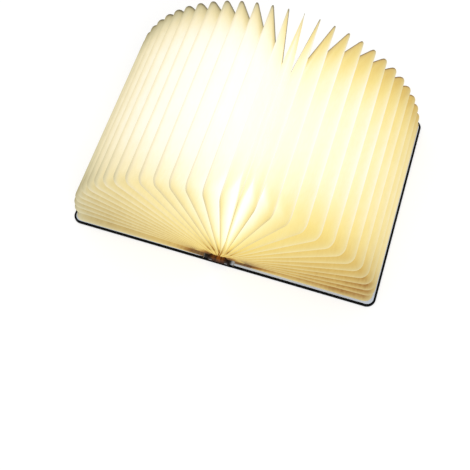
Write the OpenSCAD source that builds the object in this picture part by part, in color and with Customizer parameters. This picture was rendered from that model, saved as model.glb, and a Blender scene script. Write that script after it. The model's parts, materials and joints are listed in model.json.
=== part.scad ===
// Folding book lamp, lying open at 180 degrees on its two covers.
// Origin: middle of the underside. X runs across the opened book, Y along the spine, Z up.
// The front cover lies on the -X side and the back cover on the +X side.
// Closing turns each cover and its half of the paper leaves through 90 degrees about a spine crease.

/* [Covers] */
// Width of one cover board, from the crease to the fore edge
board_w = 141.7; // [90:0.1:190]
// Length of the covers along the spine
cover_len = 216; // [150:1:300]
// Radius of the two rounded fore edge corners
cover_corner = 9; // [4:0.5:20]
// Thickness of the outer skin of a cover
skin_t = 1.2; // [0.8:0.1:2]
// Thickness of the stiff board inside a cover
board_t = 1; // [0.8:0.1:2.5]
// Thickness of the pale lining glued inside a cover
lining_t = 0.3; // [0.2:0.05:0.6]
// Thickness of the skin where it turns up round the board's edge
turn_in = 0.8; // [0.5:0.1:1.5]
// Width of the dark edge that the lining leaves bare
lining_margin = 2.2; // [1:0.1:6]
// Clearance between a board and the skin's turned edge
board_fit = 0.05; // [0.02:0.01:0.2]

/* [Crease] */
// Thickness of the skin in the crease, where it folds
crease_t = 0.6; // [0.4:0.05:0.75]
// Width of skin between the fold line and the board
crease_w = 2.1; // [2.0:0.1:4]
// Clearance between the folding bead and the spine's skin
crease_gap = 0.05; // [0.02:0.01:0.15]

/* [Relief panel] */
// Width of the plain border round the relief panel
border_w = 9; // [6:0.5:20]
// Corner radius of the panel
panel_corner = 4; // [2:0.5:10]
// Clearance between the panel and its window
panel_fit = 0.1; // [0.05:0.01:0.3]
// Thickness of the panel's ground behind the relief
panel_ground = 0.5; // [0.3:0.05:0.7]
// Width of the panel's raised frame moulding
moulding_w = 3; // [1.5:0.1:5]
// Outer radius of the middle medallion
medallion_r = 34; // [20:0.5:45]
// Width of the medallion's ring and of the scroll rings
ring_w = 4; // [2:0.1:6]
// Outer radius of the corner scrolls
scroll_r = 15; // [10:0.5:18]
// Diameter of the small beads
bead_d = 3; // [1.5:0.1:4]
// Number of beads round the medallion
bead_count = 24; // [12:1:32]
// Number of petals of the middle rosette
petal_count = 10; // [6:1:14]
// Diameter of one rosette petal
petal_d = 8; // [5:0.5:9]

/* [Core] */
// Width of the lamp core along the spine
core_w = 21.5; // [18:0.1:30]
// Height of the core above the spine board
core_h = 10; // [9.5:0.1:16]
// Radius of the core's two upper edges
core_r = 4.5; // [2.5:0.1:5]
// Wall of the core's shells
wall = 1.2; // [1:0.05:1.8]
// Floor of the tray
tray_floor = 1; // [0.8:0.05:1.5]
// Height of the tray, up to the joint line with the lid
tray_h = 5.8; // [5.6:0.1:6.2]
// Thickness of the two end caps
cap_t = 2.5; // [2:0.1:4]
// Distance that the core's ends stay behind the covers' ends
core_setback = 0.5; // [0.3:0.1:3]
// Clearance between the core's side and the lining of a closed cover
cover_gap = 0.25; // [0.15:0.05:0.6]

/* [Leaves] */
// Number of paper leaves, an even number
leaf_count = 30; // [20:2:34]
// Thickness of one flattened paper leaf
leaf_t = 0.3; // [0.15:0.05:0.35]
// Angle between a cover and its nearest leaf when open
leaf_first = 4.5; // [2.5:0.5:6]
// Distance that closed leaves stay below the covers' fore edges
leaf_inset = 0.6; // [0.4:0.1:10]
// Distance that the leaves' ends stay behind the covers' ends
leaf_margin = 6.5; // [2:0.5:15]
// Radius of a leaf's outer corners
leaf_corner = 8; // [4:0.5:30]
// Clearance between the core's top and the closed leaves
leaf_clear = 0.85; // [0.8:0.05:1.5]
// Clearance between the outer leaf and the lining
leaf_gap = 0.35; // [0.2:0.05:0.6]
// Gap between a leaf and its fixed root
root_gap = 0.3; // [0.2:0.05:0.6]
// Thickness of the paper glued over the core
root_t = 0.3; // [0.2:0.05:0.4]

/* [Light] */
// Width of the light slot in the lid
slot_w = 6.6; // [4:0.1:8]
// Length of the light slot
slot_len = 180; // [100:1:186]
// Clearance between the diffuser and the slot
diffuser_fit = 0.1; // [0.05:0.01:0.2]
// Width of the diffuser's flange under the lid on each side
flange_w = 1; // [0.5:0.1:1.4]
// Thickness of that flange
flange_t = 0.8; // [0.5:0.1:1]
// Width of the light board
strip_w = 14; // [10:0.5:15]
// Length of the light board
strip_len = 176; // [100:1:180]
// Thickness of the light board
strip_t = 1; // [0.6:0.1:1.2]
// Number of light chips
chip_count = 22; // [10:1:30]
// Side of a light chip
chip_w = 3; // [2:0.1:3.5]
// Height of a light chip
chip_h = 0.7; // [0.4:0.1:0.8]

/* [Battery and board] */
// Width of the battery
cell_w = 15; // [10:0.5:16]
// Length of the battery
cell_len = 74; // [40:1:76]
// Height of the battery
cell_h = 4.2; // [3:0.1:4.4]
// Width of the control board
pcb_w = 11.4; // [10:0.1:11.6]
// Length of the control board
pcb_len = 38; // [32:1:42]
// Thickness of the control board
pcb_t = 1; // [0.6:0.1:1.2]
// Height of the bosses under the control board
boss_h = 1; // [0.6:0.1:1.2]
// Diameter of those bosses
boss_d = 3.4; // [2.8:0.1:4]
// Diameter of the leads' insulation
lead_d = 0.9; // [0.6:0.1:1]
// Distance from the shell's near end to the first cross rib
rib_inset = 18; // [12:0.5:20]
// Distance from the control board's inner end to its first boss
boss_inset = 4; // [3:0.5:6]
// Distance from the control board's outer end to its second boss
boss_outset = 12; // [11:0.5:14]

/* [Charging socket] */
// Width of the socket's shell
socket_w = 8.9; // [8:0.1:9.4]
// Height of the socket's shell
socket_h = 3.2; // [2.8:0.1:3.4]
// Length of the socket's shell
socket_len = 8; // [6:0.1:9]
// Wall of the socket's shell
socket_wall = 0.3; // [0.2:0.05:0.4]
// Clearance round the socket in the end cap
socket_fit = 0.15; // [0.1:0.05:0.3]
// Diameter of the charge light's lens
lens_d = 2; // [1.5:0.1:2.2]

/* [Fasteners and magnets] */
// Thread diameter of the end cap screws
screw_d = 1.6; // [1.4:0.1:1.8]
// Head diameter of the end cap screws
head_d = 2.9; // [2.6:0.1:3.1]
// Head height of the end cap screws
head_h = 0.8; // [0.6:0.1:1]
// Length of the end cap screws
screw_len = 6; // [4:0.5:8]
// Radial clearance round screws and magnets
pin_fit = 0.05; // [0.03:0.01:0.1]
// Diameter of the closing magnets
magnet_d = 8; // [5:0.5:10]
// Distance from the fore edge to the closing magnets' centres
magnet_inset = 9.5; // [7:0.5:20]
// Distance between the two magnets of a cover
magnet_span = 124; // [60:1:180]
// Diameter of the switch magnet
trigger_d = 5; // [3:0.5:6]

/* [Hidden] */
$fn = 48;
eps = 0.01;

// Heights
cover_t = skin_t + board_t + lining_t;
base_top = skin_t + board_t;
spine_board_t = base_top - crease_t;
core_top = base_top + core_h;
seam_z = base_top + tray_h;
tray_z = base_top + tray_floor;

// Cover hinge: the closed lining stands beside the core
hinge_z = crease_t / 2;
hinge_x = core_w / 2 + cover_gap + cover_t - hinge_z;
board_x = hinge_x + crease_w;
fore_x = board_x + board_w;
spine_half = core_w / 2 - 0.15;
skin_edge = hinge_x - crease_t / 2 - crease_gap;

// Ends
core_half = cover_len / 2 - core_setback;
shell_half = core_half - cap_t;
leaf_len = cover_len - 2 * leaf_margin;

// Leaves: pivots spread between the two creases, closed leaves stacked between the linings
half_count = leaf_count / 2;
stack_half = core_w / 2 + cover_gap - leaf_gap - leaf_t / 2;
leaf_step = (180 - 2 * leaf_first) / (leaf_count - 1);
leaf_in = core_top - hinge_z + leaf_clear;
leaf_out = fore_x - hinge_x - leaf_inset;
root_half = core_w / 2 - 1.1;
function share(i) = 1 - 2 * i / (leaf_count - 1);
function leaf_angle(i) = leaf_first + i * leaf_step;
function pivot(i) = [hinge_x * share(i), hinge_z];
function leaf_offset(i) = (hinge_x - stack_half) * share(i);
function leaf_point(i, r) =
    pivot(i) + leaf_offset(i) * [-sin(leaf_angle(i)), cos(leaf_angle(i))]
    + r * [cos(leaf_angle(i)), sin(leaf_angle(i))];
function leaf_name(i) = str("leaf_", i < 9 ? "0" : "", i + 1);

// Panel
panel_x0 = board_x + border_w;
panel_x1 = fore_x - border_w;
panel_half = cover_len / 2 - border_w;
panel_mid = (panel_x0 + panel_x1) / 2;
relief_h = skin_t - panel_ground;

// Core's insides
inner_half = core_w / 2 - wall;
inner_r = max(core_r - wall, 0.5);
lid_in = core_top - wall;
neck_half = slot_w / 2 - diffuser_fit;
post_d = screw_d + 2;
post_len = screw_len + 2;
post_x = inner_half - post_d / 2 + 0.2;
post_z = tray_z + post_d / 2 - 0.2;
rib_t = 1.6;
rib_back = -shell_half + rib_inset;
cell_y = rib_back + rib_t / 2 + 0.2;
rib_mid = cell_y + cell_len + 3 + rib_t / 2;
rib_far = shell_half - pcb_len - 5;
pcb_z = tray_z + boss_h;
pcb_top = pcb_z + pcb_t;
pcb_end = shell_half - 0.3;
pcb_start = pcb_end - pcb_len;
boss_y = [pcb_start + boss_inset, pcb_end - boss_outset];
socket_z = pcb_top + socket_h / 2;
socket_end = shell_half + cap_t - 0.4;
lens_x = core_w / 2 - core_r - 0.8;
lens_z = core_top - 2.8;
lens_len = cap_t + 2;
lead_x = 2;
reed_x = pcb_w / 2 - 1.4;
reed_y = pcb_start + 12;
reed_d = 1.6;
reed_len = 7;
magnet_t = board_t - 0.1;
trigger_x = hinge_x + socket_z - hinge_z;

// Outline of a cover piece on the +X side, square at the spine and rounded at the fore edge
module cover_outline(x0, x1, half, r) {
    translate([x0, -half]) square([x1 - r - x0, 2 * half]);
    translate([x0, -half + r]) square([x1 - x0, 2 * (half - r)]);
    for (s = [-1, 1]) translate([x1 - r, s * (half - r)]) circle(r);
}

// Rectangle with four rounded corners
module round_rect(x0, x1, half, r) {
    translate([x0 + r, -half]) square([x1 - x0 - 2 * r, 2 * half]);
    translate([x0, -half + r]) square([x1 - x0, 2 * (half - r)]);
    for (x = [x0 + r, x1 - r], s = [-1, 1]) translate([x, s * (half - r)]) circle(r);
}

// Cross section of the core, drawn with X across and Y up from the spine board
module core_section(half, h, r) {
    translate([-half, 0]) square([2 * half, h - r]);
    translate([-half + r, 0]) square([2 * (half - r), h]);
    for (s = [-1, 1]) translate([s * (half - r), h - r]) circle(r);
}

// Runs a section drawn in X and height along the spine from y0 to y1
module along_spine(y0, y1) {
    translate([0, y1, 0]) rotate([90, 0, 0]) linear_extrude(y1 - y0) children();
}

module front_side() {
    mirror([1, 0, 0]) children();
}

// Skin of one cover on the +X side: plate, turned-up edge and the folding bead in the crease
module cover_skin(window) {
    difference() {
        linear_extrude(base_top) cover_outline(board_x, fore_x, cover_len / 2, cover_corner);
        translate([0, 0, skin_t]) linear_extrude(base_top)
            cover_outline(board_x - 1, fore_x - turn_in, cover_len / 2 - turn_in,
                          cover_corner - turn_in);
        if (window) translate([0, 0, -1]) linear_extrude(skin_t + 2)
            round_rect(panel_x0, panel_x1, panel_half, panel_corner);
    }
    translate([hinge_x, -cover_len / 2, 0]) cube([crease_w + eps, cover_len, crease_t]);
    translate([hinge_x, cover_len / 2, hinge_z]) rotate([90, 0, 0]) cylinder(h = cover_len, d = crease_t);
}

module cover_board(extra_magnet) {
    difference() {
        translate([0, 0, skin_t]) linear_extrude(board_t)
            cover_outline(board_x, fore_x - turn_in - board_fit, cover_len / 2 - turn_in - board_fit,
                          cover_corner - turn_in - board_fit);
        for (s = [-1, 1]) translate([fore_x - magnet_inset, s * magnet_span / 2, 0])
            cylinder(h = cover_t + 1, d = magnet_d + 2 * pin_fit);
        if (extra_magnet) translate([trigger_x, reed_y, 0])
            cylinder(h = cover_t + 1, d = trigger_d + 2 * pin_fit);
    }
}

module cover_lining() {
    translate([0, 0, base_top]) linear_extrude(lining_t)
        cover_outline(board_x, fore_x - lining_margin, cover_len / 2 - lining_margin,
                      cover_corner - lining_margin);
}

module closing_magnets() {
    for (s = [-1, 1]) translate([fore_x - magnet_inset, s * magnet_span / 2, skin_t])
        cylinder(h = magnet_t, d = magnet_d);
}

module disc_ring(r, w, h) {
    difference() {
        cylinder(h = h, r = r);
        translate([0, 0, -1]) cylinder(h = h + 2, r = r - w);
    }
}

// Relief on the outer face, lowest at z = 0 so that the cover still lies flat on it
module relief() {
    difference() {
        linear_extrude(relief_h + eps) round_rect(panel_x0 + panel_fit, panel_x1 - panel_fit,
            panel_half - panel_fit, panel_corner - panel_fit);
        translate([0, 0, -1]) linear_extrude(relief_h + 2) round_rect(panel_x0 + panel_fit + moulding_w,
            panel_x1 - panel_fit - moulding_w, panel_half - panel_fit - moulding_w, panel_corner / 2);
    }
    translate([panel_mid, 0, 0]) {
        disc_ring(medallion_r, ring_w, relief_h + eps);
        cylinder(h = relief_h + eps, r = petal_d / 2);
        for (i = [0:petal_count - 1]) rotate(i * 360 / petal_count)
            translate([petal_d * 1.6, 0, 0]) cylinder(h = relief_h + eps, d = petal_d);
        for (i = [0:bead_count - 1]) rotate(i * 360 / bead_count)
            translate([medallion_r + bead_d, 0, 0]) cylinder(h = relief_h + eps, d = bead_d);
    }
    for (x = [panel_x0 + moulding_w + scroll_r + bead_d, panel_x1 - moulding_w - scroll_r - bead_d],
         s = [-1, 1]) translate([x, s * (panel_half - moulding_w - scroll_r - bead_d), 0]) {
        disc_ring(scroll_r, ring_w, relief_h + eps);
        cylinder(h = relief_h + eps, r = scroll_r / 3);
    }
}

module spine_skin() {
    color([0.08, 0.09, 0.11]) {
        translate([-skin_edge, -cover_len / 2, 0]) cube([2 * skin_edge, cover_len, crease_t]);
        for (y = [-cover_len / 2, cover_len / 2 - turn_in])
            translate([-spine_half, y, 0]) cube([2 * spine_half, turn_in, base_top]);
    }
}

module spine_board() {
    half = cover_len / 2 - turn_in - board_fit;
    color([0.45, 0.38, 0.3]) translate([-spine_half, -half, crease_t])
        cube([2 * spine_half, 2 * half, spine_board_t]);
}

module core_tray() {
    color([0.24, 0.13, 0.07]) difference() {
        union() {
            difference() {
                translate([0, 0, base_top]) along_spine(-shell_half, shell_half) intersection() {
                    core_section(core_w / 2, core_h, core_r);
                    translate([-core_w, 0]) square([2 * core_w, tray_h]);
                }
                translate([-inner_half, -shell_half - 1, tray_z])
                    cube([2 * inner_half, 2 * shell_half + 2, core_h]);
            }
            for (y = [rib_back, rib_mid, rib_far]) tray_rib(y);
            for (e = [-1, 1], s = [-1, 1]) translate([s * post_x, e * (shell_half - post_len / 2), post_z])
                rotate([90, 0, 0]) cylinder(h = post_len, d = post_d, center = true);
            for (y = boss_y) translate([0, y, tray_z - eps]) cylinder(h = boss_h + eps, d = boss_d);
        }
        for (e = [-1, 1], s = [-1, 1]) translate([s * post_x, e * shell_half, post_z])
            rotate([90, 0, 0]) cylinder(h = 2 * screw_len, d = screw_d + 2 * pin_fit, center = true);
        for (y = boss_y) translate([0, y, tray_z - 0.3])
            cylinder(h = boss_h + 1, d = screw_d / 2 + 2 * pin_fit);
    }
}

// Cross rib that carries the light board, with a notch for the leads
module tray_rib(y) {
    translate([0, y - rib_t / 2, 0]) difference() {
        translate([-inner_half - eps, 0, tray_z - eps]) cube([2 * inner_half + 2 * eps, rib_t, seam_z - tray_z + eps]);
        translate([-lead_x - 2, -1, tray_z]) cube([2 * lead_x + 4, rib_t + 2, boss_h + pcb_t + 1]);
    }
}

module core_lid() {
    color([0.24, 0.13, 0.07]) difference() {
        translate([0, 0, base_top]) along_spine(-shell_half, shell_half) difference() {
            core_section(core_w / 2, core_h, core_r);
            core_section(inner_half, core_h - wall, inner_r);
            translate([-core_w, -1]) square([2 * core_w, tray_h + 1]);
        }
        translate([-slot_w / 2, -slot_len / 2, lid_in - 1]) cube([slot_w, slot_len, wall + 2]);
    }
}

// End cap with two screw holes, drawn at the far end
module end_cap() {
    difference() {
        translate([0, 0, base_top]) along_spine(shell_half, core_half)
            core_section(core_w / 2, core_h, core_r);
        for (s = [-1, 1]) translate([s * post_x, core_half, post_z]) rotate([90, 0, 0]) {
            cylinder(h = 3 * cap_t, d = screw_d + 2 * pin_fit, center = true);
            translate([0, 0, -1]) cylinder(h = head_h + 1, d = head_d + 2 * pin_fit);
        }
    }
}

module near_cap() {
    color([0.2, 0.11, 0.06]) rotate([0, 0, 180]) end_cap();
}

module socket_section(w, h) {
    square([w - h, h], center = true);
    for (s = [-1, 1]) translate([s * (w - h) / 2, 0]) circle(h / 2);
}

module far_cap() {
    color([0.2, 0.11, 0.06]) difference() {
        end_cap();
        translate([0, 0, socket_z]) along_spine(shell_half - 1, core_half + 1)
            socket_section(socket_w + 2 * socket_fit, socket_h + 2 * socket_fit);
        translate([lens_x, core_half + 1, lens_z]) rotate([90, 0, 0])
            cylinder(h = cap_t + 2, d = lens_d + 2 * pin_fit);
    }
}

module cap_screws() {
    color([0.6, 0.6, 0.62]) for (e = [-1, 1], s = [-1, 1])
        translate([s * post_x, e * (core_half - head_h), post_z]) rotate([e * 90, 0, 0]) {
            translate([0, 0, -head_h + 0.05]) difference() {
                cylinder(h = head_h - 0.05, d = head_d);
                translate([0, 0, -eps]) cube([head_d / 5, head_d * 0.7, 0.6], center = true);
                translate([0, 0, -eps]) cube([head_d * 0.7, head_d / 5, 0.6], center = true);
            }
            cylinder(h = screw_len, d = screw_d);
        }
}

module diffuser() {
    color([0.96, 0.93, 0.84]) {
        translate([-neck_half, -slot_len / 2 + diffuser_fit, lid_in - eps])
            cube([2 * neck_half, slot_len - 2 * diffuser_fit, wall - 0.2 + eps]);
        translate([-slot_w / 2 - flange_w, -slot_len / 2 - flange_w, lid_in - flange_t])
            cube([slot_w + 2 * flange_w, slot_len + 2 * flange_w, flange_t]);
    }
}

module light_board() {
    color([0.95, 0.95, 0.92]) translate([-strip_w / 2, -strip_len / 2, seam_z])
        cube([strip_w, strip_len, strip_t]);
}

module light_chips() {
    pitch = (strip_len - 8) / chip_count;
    color([1, 0.9, 0.55]) for (i = [0:chip_count - 1])
        translate([-chip_w / 2, (i - (chip_count - 1) / 2) * pitch - chip_w / 2, seam_z + strip_t])
            cube([chip_w, chip_w, chip_h]);
}

module battery() {
    color([0.75, 0.77, 0.8]) translate([-cell_w / 2, cell_y, tray_z])
        cube([cell_w, cell_len, cell_h]);
}

module control_board() {
    color([0.1, 0.4, 0.2]) difference() {
        translate([-pcb_w / 2, pcb_start, pcb_z]) cube([pcb_w, pcb_len, pcb_t]);
        for (y = boss_y) translate([0, y, pcb_z - 1]) cylinder(h = pcb_t + 2, d = screw_d / 2 + 2 * pin_fit);
    }
}

module board_screws() {
    color([0.7, 0.7, 0.72]) for (y = boss_y) translate([0, y, 0]) {
        translate([0, 0, pcb_top - boss_h - pcb_t]) cylinder(h = boss_h + pcb_t + eps, d = screw_d / 2);
        translate([0, 0, pcb_top]) cylinder(h = 0.5, d = screw_d);
    }
}

// Two leads from the battery to the control board and two up to the light board
module inner_leads() {
    color([0.7, 0.1, 0.1]) {
        for (s = [-1, 1]) translate([s * lead_x, pcb_start, pcb_z + pcb_t / 2]) rotate([90, 0, 0])
            cylinder(h = pcb_start - cell_y - cell_len, d = lead_d);
        for (s = [-1, 1]) translate([s * lead_x, strip_len / 2 - 4, pcb_top])
            cylinder(h = seam_z - pcb_top, d = lead_d);
    }
}

// Metal shell of the charging socket with its contact tongue
module charge_socket() {
    color([0.75, 0.75, 0.78]) translate([0, 0, socket_z]) {
        along_spine(socket_end - socket_len, socket_end) difference() {
            socket_section(socket_w, socket_h);
            socket_section(socket_w - 2 * socket_wall, socket_h - 2 * socket_wall);
        }
        along_spine(socket_end - socket_len, socket_end - socket_len + 1)
            socket_section(socket_w, socket_h);
        along_spine(socket_end - socket_len, socket_end - 1)
            square([socket_w * 0.7, socket_h * 0.22], center = true);
    }
}

module charge_lens() {
    color([0.9, 0.25, 0.15]) translate([lens_x, core_half, lens_z]) rotate([90, 0, 0])
        cylinder(h = lens_len, d = lens_d);
}

module reed_switch() {
    color([0.7, 0.85, 0.8]) {
        translate([reed_x, reed_y + reed_len / 2, pcb_top + reed_d / 2 + 0.1]) rotate([90, 0, 0])
            cylinder(h = reed_len, d = reed_d);
        for (s = [-1, 1]) translate([reed_x - 0.3, reed_y + s * reed_len / 2 - 0.3, pcb_top])
            cube([0.6, 0.6, reed_d / 2 + 0.2]);
    }
}

// Inner folds of the back half of the paper, glued over the core and reaching to the leaves
module root_section() {
    difference() {
        union() {
            intersection() {
                translate([0, base_top]) core_section(core_w / 2 + root_t, core_h + root_t, core_r + root_t);
                translate([0.1, core_top - core_r / 1.7]) square([core_w, core_r * 2]);
            }
            for (i = [0:half_count - 1]) root_fin(i);
        }
        translate([0, base_top]) core_section(core_w / 2, core_h, core_r);
    }
}

function over_core(x) = abs(x) < core_w / 2 - core_r ? core_top
    : core_top - core_r + sqrt(pow(core_r, 2) - pow(abs(x) - core_w / 2 + core_r, 2));

module root_fin(i) {
    tip = leaf_point(i, leaf_in - root_gap);
    foot = [root_half * share(i), over_core(root_half * share(i)) + root_t / 2];
    dir = (tip - foot) / norm(tip - foot);
    side = [-dir[1], dir[0]] * leaf_t / 2;
    polygon([foot - side, tip - side, tip + side, foot + side]);
}

module back_roots() {
    color([0.93, 0.83, 0.58]) along_spine(-leaf_len / 2, leaf_len / 2) root_section();
}

module front_roots() {
    color([0.93, 0.83, 0.58]) front_side() along_spine(-leaf_len / 2, leaf_len / 2) root_section();
}

module front_skin() {
    color([0.16, 0.22, 0.25]) front_side() cover_skin(true);
}

module back_skin() {
    color([0.1, 0.12, 0.14]) cover_skin(false);
}

module front_board() {
    color([0.45, 0.38, 0.3]) front_side() cover_board(false);
}

module back_board() {
    color([0.45, 0.38, 0.3]) cover_board(true);
}

module front_panel() {
    color([0.3, 0.5, 0.52]) front_side() union() {
        translate([0, 0, relief_h]) linear_extrude(panel_ground)
            round_rect(panel_x0 + panel_fit, panel_x1 - panel_fit, panel_half - panel_fit,
                       panel_corner - panel_fit);
        relief();
    }
}

module front_lining() {
    color([0.8, 0.84, 0.86]) front_side() cover_lining();
}

module back_lining() {
    color([0.8, 0.84, 0.86]) cover_lining();
}

module front_magnets() {
    color([0.7, 0.7, 0.72]) front_side() closing_magnets();
}

module back_magnets() {
    color([0.7, 0.7, 0.72]) closing_magnets();
}

module switch_magnet() {
    color([0.7, 0.7, 0.72]) translate([trigger_x, reed_y, skin_t]) cylinder(h = magnet_t, d = trigger_d);
}

// One paper leaf as a flat plate in its place in the open fan
module leaf(i) {
    color([0.98, 0.92, 0.72]) translate([pivot(i)[0], 0, pivot(i)[1]]) rotate([0, -leaf_angle(i), 0])
        translate([0, 0, leaf_offset(i) - leaf_t / 2]) linear_extrude(leaf_t)
            cover_outline(leaf_in, leaf_out, leaf_len / 2, leaf_corner);
}

spine_skin();
spine_board();
core_tray();
core_lid();
near_cap();
far_cap();
cap_screws();
diffuser();
light_board();
light_chips();
battery();
control_board();
board_screws();
inner_leads();
charge_socket();
charge_lens();
reed_switch();
front_roots();
back_roots();
front_skin();
front_board();
front_panel();
front_lining();
front_magnets();
back_skin();
back_board();
back_lining();
back_magnets();
switch_magnet();
for (i = [0:leaf_count - 1]) leaf(i);
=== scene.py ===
import json
import math

import bpy
import numpy as np
from mathutils import Matrix, Vector


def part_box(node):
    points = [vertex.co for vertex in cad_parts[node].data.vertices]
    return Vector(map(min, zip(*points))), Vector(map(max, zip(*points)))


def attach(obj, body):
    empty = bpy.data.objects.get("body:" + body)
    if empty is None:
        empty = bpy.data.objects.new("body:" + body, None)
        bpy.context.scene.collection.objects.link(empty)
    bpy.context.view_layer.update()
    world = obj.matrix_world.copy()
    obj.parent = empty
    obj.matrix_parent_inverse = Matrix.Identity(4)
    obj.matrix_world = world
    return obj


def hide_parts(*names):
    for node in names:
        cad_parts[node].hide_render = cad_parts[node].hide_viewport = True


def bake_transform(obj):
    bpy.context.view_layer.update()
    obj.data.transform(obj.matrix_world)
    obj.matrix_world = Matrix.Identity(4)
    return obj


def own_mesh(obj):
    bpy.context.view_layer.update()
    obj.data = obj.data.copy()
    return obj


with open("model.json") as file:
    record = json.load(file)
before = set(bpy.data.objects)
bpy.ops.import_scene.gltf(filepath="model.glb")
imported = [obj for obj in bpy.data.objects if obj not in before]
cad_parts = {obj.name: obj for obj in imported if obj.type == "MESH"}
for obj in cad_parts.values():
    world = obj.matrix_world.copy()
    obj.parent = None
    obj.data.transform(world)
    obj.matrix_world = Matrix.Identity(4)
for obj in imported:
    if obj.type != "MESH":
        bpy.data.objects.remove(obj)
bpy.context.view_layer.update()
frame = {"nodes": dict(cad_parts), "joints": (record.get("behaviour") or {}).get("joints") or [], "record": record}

joints = {joint["child"]: joint for joint in frame["joints"]}
ratios = {coupling["joint"]: coupling["ratio"] for coupling in frame["record"]["behaviour"]["couplings"]}
mm = 0.001


# Node helpers
def feed(tree, socket, value):  # value: another node's output, a number, a colour or a vector
    if isinstance(value, bpy.types.NodeSocket):
        tree.links.new(value, socket)
    elif socket.type == "RGBA" and len(value) == 3:
        socket.default_value = (*value, 1)
    else:
        socket.default_value = value


def addNode(tree, kind, sockets, **settings):
    node = tree.nodes.new(kind)
    for key, value in settings.items():
        setattr(node, key, value)
    for key, value in sockets.items():
        feed(tree, node.inputs[key], value)
    return node


def addMath(tree, operation, first, second, clamp=False):
    node = addNode(tree, "ShaderNodeMath", {0: first, 1: second}, operation=operation, use_clamp=clamp)
    return node.outputs[0]


def plus(tree, first, second, clamp=False):
    return addMath(tree, "ADD", first, second, clamp)


def minus(tree, first, second, clamp=False):
    return addMath(tree, "SUBTRACT", first, second, clamp)


def times(tree, first, second, clamp=False):
    return addMath(tree, "MULTIPLY", first, second, clamp)


def addScale(tree, colour, factor):
    return addNode(tree, "ShaderNodeVectorMath", {0: colour, "Scale": factor}, operation="SCALE").outputs[0]


def addMix(tree, amount, first, second):
    return addNode(tree, "ShaderNodeMix", {0: amount, 6: first, 7: second}, data_type="RGBA").outputs[2]


def addAttribute(tree, name, output="Fac"):  # a value or colour that the mesh carries
    return addNode(tree, "ShaderNodeAttribute", {}, attribute_name=name).outputs[output]


def addRamp(tree, source, stops):
    node = addNode(tree, "ShaderNodeValToRGB", {0: source})
    while len(node.color_ramp.elements) < len(stops):
        node.color_ramp.elements.new(0.5)
    for element, (place, colour) in zip(node.color_ramp.elements, stops):
        element.position = place
        element.color = (*colour, 1) if isinstance(colour, tuple) else (colour, colour, colour, 1)
    return node.outputs[0]


def addNoise(tree, scale, detail, stretch=(1, 1, 1)):
    place = tree.nodes.new("ShaderNodeTexCoord").outputs["Object"]
    place = addNode(tree, "ShaderNodeMapping", {"Vector": place, "Scale": stretch}).outputs[0]
    noise = addNode(tree, "ShaderNodeTexNoise", {"Vector": place, "Scale": scale, "Detail": detail})
    return noise.outputs["Fac"]


def addObject(name, data):
    item = bpy.data.objects.new(name, data)
    bpy.context.scene.collection.objects.link(item)
    return item


# Camera, fitted to the cover corners and the leaf tips of a 470 x 470 picture
cameraSetup = {
    "azimuth": 22.53,
    "elevation": 67.01,
    "roll": -5.01,
    "distance": 0.700,
    "target": (0.0132, -0.0892, 0.040),
    "focalPixels": 740.0,
    "pictureWidth": 470,
    "sensorWidth": 36,
    "clip": (0.01, 20),
}


def makeCamera(setup):
    azimuth, elevation, roll = (math.radians(setup[key]) for key in ("azimuth", "elevation", "roll"))
    back = Vector((math.sin(azimuth) * math.cos(elevation),
                   -math.cos(azimuth) * math.cos(elevation), math.sin(elevation)))
    level = Vector((math.cos(azimuth), math.sin(azimuth), 0))
    right = math.cos(roll) * level + math.sin(roll) * back.cross(level)
    up = back.cross(right)
    data = bpy.data.cameras.new("camera")
    data.sensor_width = setup["sensorWidth"]
    data.lens = setup["sensorWidth"] * setup["focalPixels"] / setup["pictureWidth"]
    data.clip_start, data.clip_end = setup["clip"]
    camera = addObject("camera", data)
    place = Vector(setup["target"]) + back * setup["distance"]
    turn = Matrix((right, up, back)).transposed().to_4x4()
    camera.matrix_world = Matrix.Translation(place) @ turn
    bpy.context.scene.camera = camera


# Lights, floor and background
studio = {
    "worldStrength": 0.72,
    "lights": {
        "keyLight": {"place": (0.60, -0.80, 1.15), "size": 0.9, "power": 6},
        "fillLight": {"place": (-0.9, 0.5, 0.9), "size": 1.4, "power": 2},
    },
    "floorColour": (0.50, 0.50, 0.50),
    "floorLift": 0.58,
    "floorSize": 8,
    "floorDrop": 0.2 * mm,
}
white = (1, 1, 1)


def makeLight(name, setup):
    data = bpy.data.lights.new(name, "AREA")
    data.shape = "DISK"
    data.size = setup["size"]
    data.energy = setup["power"]
    light = addObject(name, data)
    light.location = setup["place"]
    light.rotation_euler = (-Vector(setup["place"])).to_track_quat("-Z", "Y").to_euler()


def seenDirectly(tree):  # 1 for rays from the camera, a glossy surface or glass
    path = tree.nodes.new("ShaderNodeLightPath").outputs
    first = addMath(tree, "MAXIMUM", path["Is Camera Ray"], path["Is Glossy Ray"])
    return addMath(tree, "MAXIMUM", first, path["Is Transmission Ray"])


def makeWorld(strength):
    world = bpy.data.worlds.new("studio")
    world.use_nodes = True
    bpy.context.scene.world = world
    tree = world.node_tree
    tree.nodes.clear()
    lit = addNode(tree, "ShaderNodeBackground", {"Color": white, "Strength": strength})
    seen = addNode(tree, "ShaderNodeBackground", {"Color": white, "Strength": 1})
    mix = addNode(tree, "ShaderNodeMixShader", {0: seenDirectly(tree), 1: lit.outputs[0], 2: seen.outputs[0]})
    addNode(tree, "ShaderNodeOutputWorld", {"Surface": mix.outputs[0]})


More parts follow.
